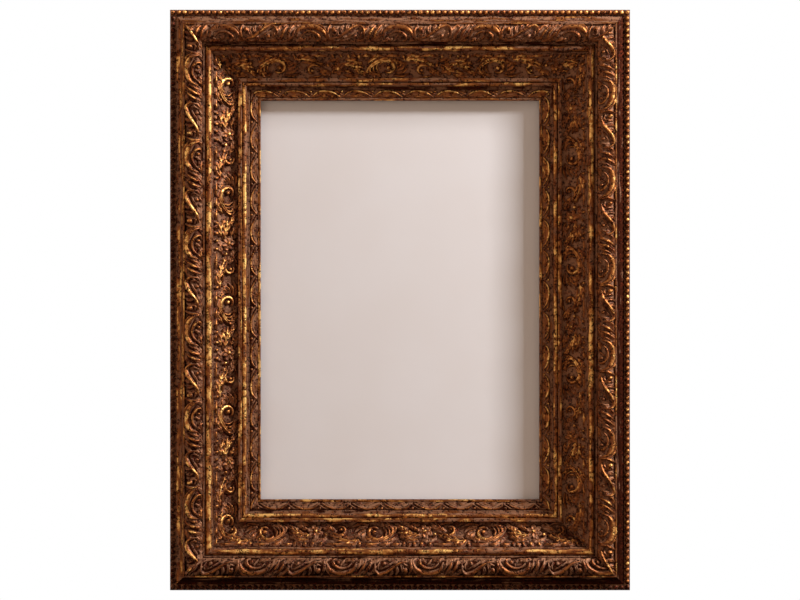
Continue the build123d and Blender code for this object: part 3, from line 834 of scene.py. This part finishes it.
class Nodes:
    """Builds the nodes of a material or of the world, each fed by values or by other nodes."""

    def __init__(self, tree):
        self.tree = tree

    def feed(self, socket, value):
        """Links another node's output to the socket, or sets a plain value there."""
        if isinstance(value, bpy.types.NodeSocket):
            self.tree.links.new(value, socket)
        else:
            socket.default_value = value

    def add(self, kind, inputs=None, **settings):
        node = self.tree.nodes.new(kind)
        for name, value in settings.items():
            setattr(node, name, value)
        for key, value in (inputs or {}).items():
            self.feed(node.inputs[key], value)
        return node

    def maths(self, operation, first, second):
        return self.add("ShaderNodeMath", {0: first, 1: second}, operation=operation).outputs[0]

    def ranged(self, value, low, high, start, end):
        """start up to low, end from high on and smooth between."""
        inputs = {"Value": value, "From Min": low, "From Max": high, "To Min": start, "To Max": end}
        node = self.add("ShaderNodeMapRange", inputs, interpolation_type="SMOOTHSTEP")
        return node.outputs["Result"]

    def step(self, value, low, high):
        """0 up to low, 1 from high on and smooth between."""
        return self.ranged(value, low, high, 0, 1)

    def mix(self, share, first, second):
        """Colour between first and second."""
        return self.add("ShaderNodeMix", {0: share, 6: first, 7: second}, data_type="RGBA").outputs[2]

    def blend(self, share, first, second):
        """Number between first and second."""
        return self.add("ShaderNodeMix", {0: share, 2: first, 3: second}, data_type="FLOAT").outputs[0]


class Paint(Nodes):
    """A procedural material that is built node by node, on the piece's own coordinates."""

    def __init__(self, name):
        self.material = bpy.data.materials.new(name)
        self.material.use_nodes = True
        super().__init__(self.material.node_tree)
        self.shader = self.tree.nodes["Principled BSDF"]
        self.place = self.add("ShaderNodeTexCoord").outputs["Object"]

    def noise(self, size, detail=2.0, roughness=0.5, stretch=(1, 1, 1)):
        """Cloudy variation whose patches are about size metres across."""
        mapping = self.add("ShaderNodeMapping", {"Vector": self.place, "Scale": stretch})
        inputs = {"Vector": mapping.outputs[0], "Scale": 1 / size, "Detail": detail, "Roughness": roughness}
        return self.add("ShaderNodeTexNoise", inputs).outputs["Fac"]

    def cells(self, size):
        """Distance from the middle of the nearest of many round cells, size metres apart."""
        inputs = {"Vector": self.place, "Scale": 1 / size}
        return self.add("ShaderNodeTexVoronoi", inputs).outputs["Distance"]

    def surface(self, **inputs):
        """Feeds the shader's own sockets."""
        for name, value in inputs.items():
            self.feed(self.shader.inputs[name.replace("_", " ")], value)

    def bump(self, height, depth):
        """Fine relief, depth metres between 0 and 1."""
        node = self.add("ShaderNodeBump", {"Height": height, "Distance": depth, "Strength": 1.0})
        self.surface(Normal=node.outputs[0])


def tone(red, green, blue):
    """A colour written as on screen, 0 to 255."""
    def linear(level):
        share = level / 255
        return share / 12.92 if share <= 0.04045 else ((share + 0.055) / 1.055)**2.4
    return (linear(red), linear(green), linear(blue), 1.0)


# Colours of the gilding: its dark wash, plain brown, rubbed copper and gold, dust, the red
# clay under it and its specks
PATINA_DARK = tone(64, 29, 17)
PATINA_BROWN = tone(132, 76, 43)
COPPER_RUB = tone(206, 138, 76)
YELLOW_GOLD = tone(255, 206, 126)
DUST_BROWN = tone(148, 104, 76)
BOLE_RED = tone(98, 40, 24)
SPECK_BROWN = tone(30, 14, 8)


def aged_gilding(name):
    """Burnished gilding gone brown: bright metal on the crests, dust on the ground, dark wash in
    the crevices, and red bole and dark specks that show through it all over. Painted light and shade for
    each side ride on the rub, making whole sides lighter or darker."""
    paint = Paint(name)
    wear_and_side_light = paint.add("ShaderNodeAttribute", attribute_name="wear_and_side_light").outputs["Fac"]
    broad = paint.noise(18 * MM, 2)
    patchy = paint.noise(3.2 * MM, 2)
    fine = paint.noise(0.9 * MM, 2)

    def varied(value, noise, reach):
        off_middle = paint.maths("SUBTRACT", noise, 0.5)
        return paint.maths("ADD", value, paint.maths("MULTIPLY", off_middle, reach))

    # The rub read here also carries painted light and shade for each side, so part of the copper and gold
    # below is painted highlight and part of the dark wash is painted shade.
    wear_with_side_light = varied(varied(varied(wear_and_side_light, patchy, 0.9), fine, 0.6), broad, 0.7)
    brown = paint.mix(paint.step(wear_with_side_light, 0.0, 0.7), DUST_BROWN, PATINA_BROWN)
    copper = paint.maths("MULTIPLY", paint.step(wear_with_side_light, 0.55, 1.0), 0.8)
    colour = paint.mix(copper, brown, COPPER_RUB)
    golden = paint.maths("MULTIPLY", paint.step(wear_with_side_light, 0.86, 1.18), paint.step(patchy, 0.38, 0.52))
    colour = paint.mix(golden, colour, YELLOW_GOLD)
    washed = paint.step(wear_with_side_light, -0.05, -0.75)
    colour = paint.mix(washed, colour, PATINA_DARK)
    bole = paint.step(paint.noise(3.0 * MM, 2), 0.54, 0.64)
    colour = paint.mix(paint.maths("MULTIPLY", bole, 0.65), colour, BOLE_RED)
    speck = paint.step(paint.cells(1.35 * MM), 0.56, 0.34)
    rare = paint.step(paint.noise(3.0 * MM, 1), 0.45, 0.54)
    speck = paint.maths("MULTIPLY", speck, rare)
    colour = paint.mix(paint.maths("MULTIPLY", speck, 0.85), colour, SPECK_BROWN)
    matt = paint.maths("MULTIPLY", paint.step(wear_with_side_light, 0.5, 0.0), paint.maths("SUBTRACT", 1.0, washed))
    metal = paint.blend(matt, 1.0, 0.55)
    rough = varied(paint.blend(matt, 0.52, 0.72), fine, 0.14)
    paint.surface(Base_Color=colour, Metallic=metal, Roughness=rough)
    dents = paint.maths("SUBTRACT", paint.maths("MULTIPLY", fine, 0.6), speck)
    paint.bump(dents, 0.12 * MM)
    return paint.material


def wood_paint(name, grain):
    """Pale sawn wood with its grain along the rail: fine pores, soft bands and broad darker grime patches.
    """
    paint = Paint(name)
    stretch = (1 / 14, 1, 1) if grain == "across" else (1, 1, 1 / 14)
    pores = paint.noise(0.9 * MM, 4, 0.65, stretch)
    bands = paint.noise(7 * MM, 2, 0.5, stretch)
    grime = paint.noise(40 * MM, 3, 0.6)
    colour = paint.mix(paint.step(bands, 0.35, 0.65), tone(188, 148, 104), tone(162, 118, 76))
    deep_pores = paint.maths("MULTIPLY", paint.step(pores, 0.52, 0.72), 0.6)
    colour = paint.mix(deep_pores, colour, tone(112, 74, 44))
    colour = paint.mix(paint.maths("MULTIPLY", paint.step(grime, 0.5, 0.75), 0.4), colour, tone(96, 66, 42))
    paint.surface(Base_Color=colour, Roughness=paint.blend(pores, 0.7, 0.9))
    paint.bump(pores, 0.15 * MM)
    return paint.material


def card_paint():
    """Plain pale card with hardly any tooth."""
    paint = Paint("picture_card")
    tooth = paint.noise(1.2 * MM, 3)
    cloud = paint.noise(60 * MM, 2)
    colour = paint.mix(paint.step(cloud, 0.3, 0.7), tone(229, 226, 229), tone(227, 223, 225))
    paint.surface(Base_Color=colour, Roughness=paint.blend(tooth, 0.75, 0.9))
    paint.bump(tooth, 0.02 * MM)
    return paint.material


def hardboard_paint():
    """Brown pressed fibre board: short fibres, a fine weave of dimples and faint scuffs."""
    paint = Paint("backing_hardboard")
    fibres = paint.noise(1.6 * MM, 4, 0.7, (1, 1, 0.35))
    blotches = paint.noise(24 * MM, 3, 0.55)
    dimples = paint.step(paint.cells(1.9 * MM), 0.1, 0.5)
    scuffs = paint.step(paint.noise(5 * MM, 2, 0.6, (0.12, 1, 1)), 0.62, 0.72)
    colour = paint.mix(paint.step(blotches, 0.35, 0.65), tone(118, 80, 50), tone(136, 96, 62))
    colour = paint.mix(paint.maths("MULTIPLY", paint.step(fibres, 0.5, 0.7), 0.5), colour, tone(88, 56, 34))
    colour = paint.mix(paint.maths("MULTIPLY", scuffs, 0.35), colour, tone(170, 132, 96))
    paint.surface(Base_Color=colour, Roughness=paint.blend(dimples, 0.62, 0.8))
    paint.bump(paint.maths("ADD", fibres, dimples), 0.12 * MM)
    return paint.material


def metal_paint(name, bright, dull, stain, roughness):
    """Rolled or plated metal: rolling lines, dull patches, and stain in spots."""
    paint = Paint(name)
    lines = paint.noise(0.5 * MM, 3, 0.6, (0.1, 1, 1))
    patches = paint.noise(4 * MM, 3, 0.6)
    spots = paint.step(paint.noise(1.3 * MM, 4, 0.7), 0.60, 0.72)
    dulled = paint.step(patches, 0.4, 0.65)
    colour = paint.mix(dulled, bright, dull)
    colour = paint.mix(paint.maths("MULTIPLY", spots, 0.7), colour, stain)
    rough = paint.blend(dulled, roughness, roughness + 0.18)
    rough = paint.maths("ADD", rough, paint.maths("MULTIPLY", lines, 0.12))
    paint.surface(Base_Color=colour, Metallic=paint.blend(spots, 1.0, 0.6), Roughness=rough)
    paint.bump(lines, 0.02 * MM)
    return paint.material


def rubber_paint():
    """Soft black rubber with dust in its pores."""
    paint = Paint("bumper_rubber")
    pores = paint.noise(0.6 * MM, 4, 0.7)
    dust = paint.step(paint.noise(3 * MM, 3, 0.6), 0.5, 0.7)
    colour = paint.mix(paint.maths("MULTIPLY", dust, 0.5), tone(34, 33, 33), tone(84, 78, 72))
    paint.surface(Base_Color=colour, Roughness=paint.blend(pores, 0.55, 0.85))
    paint.bump(pores, 0.06 * MM)
    return paint.material


def clear_pane():
    """Thin picture glass that lets lamps through."""
    paint = Paint("picture_glass")
    paint.surface(Base_Color=(1, 1, 1, 1), Roughness=0.02, IOR=1.45, Transmission_Weight=1.0)
    clear = paint.add("ShaderNodeBsdfTransparent")
    path = paint.add("ShaderNodeLightPath")
    passes = paint.maths("MAXIMUM", path.outputs["Is Shadow Ray"], path.outputs["Is Diffuse Ray"])
    blend = paint.add("ShaderNodeMixShader", {0: passes})
    output = paint.tree.nodes["Material Output"]
    paint.tree.links.new(paint.shader.outputs[0], blend.inputs[1])
    paint.tree.links.new(clear.outputs[0], blend.inputs[2])
    paint.tree.links.new(blend.outputs[0], output.inputs["Surface"])
    return paint.material


gilding = aged_gilding("aged_gilding")
cross_grain = wood_paint("raw_wood_across", "across")
upright_grain = wood_paint("raw_wood_upright", "upright")
for side in RAILS:
    wood = cross_grain if side in ("top", "bottom") else upright_grain
    moulded_rail(side, [gilding, wood])
    beaded_edge(side, [gilding])
    for kind in COURSES:
        pressed_course(kind, side, [gilding])

steel = metal_paint("zinc_plated_steel", tone(196, 196, 198), tone(150, 150, 150), tone(104, 88, 74), 0.28)
nail_steel = metal_paint("nail_steel", tone(150, 148, 146), tone(110, 106, 102), tone(92, 58, 38), 0.38)
brass = metal_paint("aged_brass", tone(226, 186, 110), tone(176, 136, 74), tone(92, 66, 40), 0.26)
FINISHES = {
    "glass_pane": clear_pane(),
    "blank_picture_panel": card_paint(),
    "backing_board": hardboard_paint(),
    "corner_v_nails": nail_steel,
    "turn_button": brass,
    "hanger_": steel,
    "wall_bumpers": rubber_paint(),
}
for node_name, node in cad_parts.items():
    for start, material in FINISHES.items():
        if node_name.startswith(start):
            node.data.materials.clear()
            node.data.materials.append(material)

# Camera: straight at the frame's middle, from far enough for its flat look
CAMERA_DISTANCE = 2.5
SENSOR_WIDTH = 36.0
PICTURE_WIDTH_PX = 800
FRAME_WIDTH_PX = 460
camera_data = bpy.data.cameras.new("viewer")
camera_data.sensor_width = SENSOR_WIDTH
edge_distance = CAMERA_DISTANCE - WALL_CLEARANCE - COVE_FOOT
shown_share = FRAME_WIDTH_PX / PICTURE_WIDTH_PX
camera_data.lens = SENSOR_WIDTH * shown_share * edge_distance / OUTER_WIDTH
camera = bpy.data.objects.new("viewer", camera_data)
camera.location = (0, -CAMERA_DISTANCE, 0)
camera.rotation_euler = (math.pi / 2, 0, 0)
bpy.context.scene.collection.objects.link(camera)
bpy.context.scene.camera = camera


def add_lamp(name, place, aim, size, power):
    """A soft rectangular lamp that shines along aim."""
    data = bpy.data.lights.new(name, "AREA")
    data.shape = "RECTANGLE"
    data.size, data.size_y = size
    data.energy = power
    lamp = bpy.data.objects.new(name, data)
    lamp.location = place
    lamp.rotation_euler = Vector(aim).to_track_quat("-Z", "Y").to_euler()
    bpy.context.scene.collection.objects.link(lamp)


# A tall window high on the right, low over the frame's face, and a lamp behind
add_lamp("window", place=(1.57, -0.62, 1.25), aim=(0, 1, 0), size=(0.60, 0.72), power=260.0)
add_lamp("behind", place=(-0.5, 1.5, 0.9), aim=(0.5, -1.5, -0.9), size=(0.9, 0.9), power=16.0)

# How bright the room is above, on its floor in front and under the frame, and on the left
CEILING_LEVEL = 0.3
FLOOR_LEVEL = 0.72
UNDER_FRAME_LEVEL = 0.02
LEFT_WALL_LEVEL = 0.62
ROOM_COLOUR = (1.0, 0.78, 0.61, 1.0)
WHITE = (1.0, 1.0, 1.0, 1.0)


def room_world():
    """White to the camera, and behind the frame to gloss; elsewhere a dim room with a bright
    ceiling, a lit floor in front, a dark one under the frame and a paler wall on the left."""
    world = bpy.data.worlds.new("room")
    bpy.context.scene.world = world
    world.use_nodes = True
    room = Nodes(world.node_tree)
    ray = room.add("ShaderNodeLightPath").outputs
    look = room.add("ShaderNodeTexCoord").outputs["Generated"]
    way = room.add("ShaderNodeSeparateXYZ", {0: look}).outputs
    behind = room.step(way["Y"], 0.3, 0.8)
    gloss = room.maths("MAXIMUM", ray["Is Glossy Ray"], ray["Is Transmission Ray"])
    white = room.maths("MAXIMUM", ray["Is Camera Ray"], room.maths("MULTIPLY", gloss, behind))
    in_front = room.ranged(way["Y"], -0.9, -0.4, FLOOR_LEVEL, UNDER_FRAME_LEVEL)
    lit_floor = room.maths("MULTIPLY", in_front, room.ranged(way["Z"], -0.4, -0.12, 1, 0.5))
    upwards = room.step(way["Z"], -0.1, 0.45)
    across = room.ranged(way["X"], -1, 1, 1.3 * CEILING_LEVEL, 0.7 * CEILING_LEVEL)
    ceiling_part = room.maths("MULTIPLY", upwards, across)
    floor_part = room.maths("MULTIPLY", lit_floor, room.maths("SUBTRACT", 1.0, upwards))
    left_part = room.ranged(way["X"], -0.2, -0.7, 0, LEFT_WALL_LEVEL)
    level = room.maths("ADD", room.maths("ADD", ceiling_part, floor_part), left_part)
    background = world.node_tree.nodes["Background"]
    room.feed(background.inputs["Color"], room.mix(white, ROOM_COLOUR, WHITE))
    room.feed(background.inputs["Strength"], room.blend(white, level, 1.0))


room_world()

# The floor: how far it reaches from the middle and lies under it, its colour to the camera,
# and to all else its painted shade near the frame and painted light in front
FLOOR_REACH = 1.4
FLOOR_DROP = 0.46
FLOOR_SHOWN = (0.85, 0.85, 0.85, 1.0)
FLOOR_SHADE_NEAR = (0.02, 0.018, 0.016, 1.0)
FLOOR_LIGHT_IN_FRONT = (0.6, 0.48, 0.38, 1.0)


def pale_floor():
    """A pale floor well under the frame, where only its soft shadow falls. To all but the camera
    its colour is painted shade near the frame and painted light in front, a dim room's floor for the
    gilding to reflect."""
    sheet = bmesh.new()
    bmesh.ops.create_grid(sheet, x_segments=1, y_segments=1, size=FLOOR_REACH)
    bmesh.ops.translate(sheet, verts=sheet.verts, vec=(0, 0, -FLOOR_DROP))
    mesh = bpy.data.meshes.new("floor")
    sheet.to_mesh(mesh)
    sheet.free()
    floor = bpy.data.objects.new("floor", mesh)
    bpy.context.scene.collection.objects.link(floor)
    paint = Paint("pale_floor")
    seen = paint.add("ShaderNodeLightPath").outputs["Is Camera Ray"]
    depth = paint.add("ShaderNodeSeparateXYZ", {0: paint.place}).outputs["Y"]
    # Painted shade near the frame and painted light in front, seen by all but the camera.
    painted_floor_light_and_shade = paint.mix(paint.step(depth, -0.12, -0.45), FLOOR_SHADE_NEAR, FLOOR_LIGHT_IN_FRONT)
    paint.surface(Base_Color=paint.mix(seen, painted_floor_light_and_shade, FLOOR_SHOWN), Roughness=0.9)
    mesh.materials.append(paint.material)


pale_floor()

bpy.context.scene.view_settings.view_transform = "Standard"
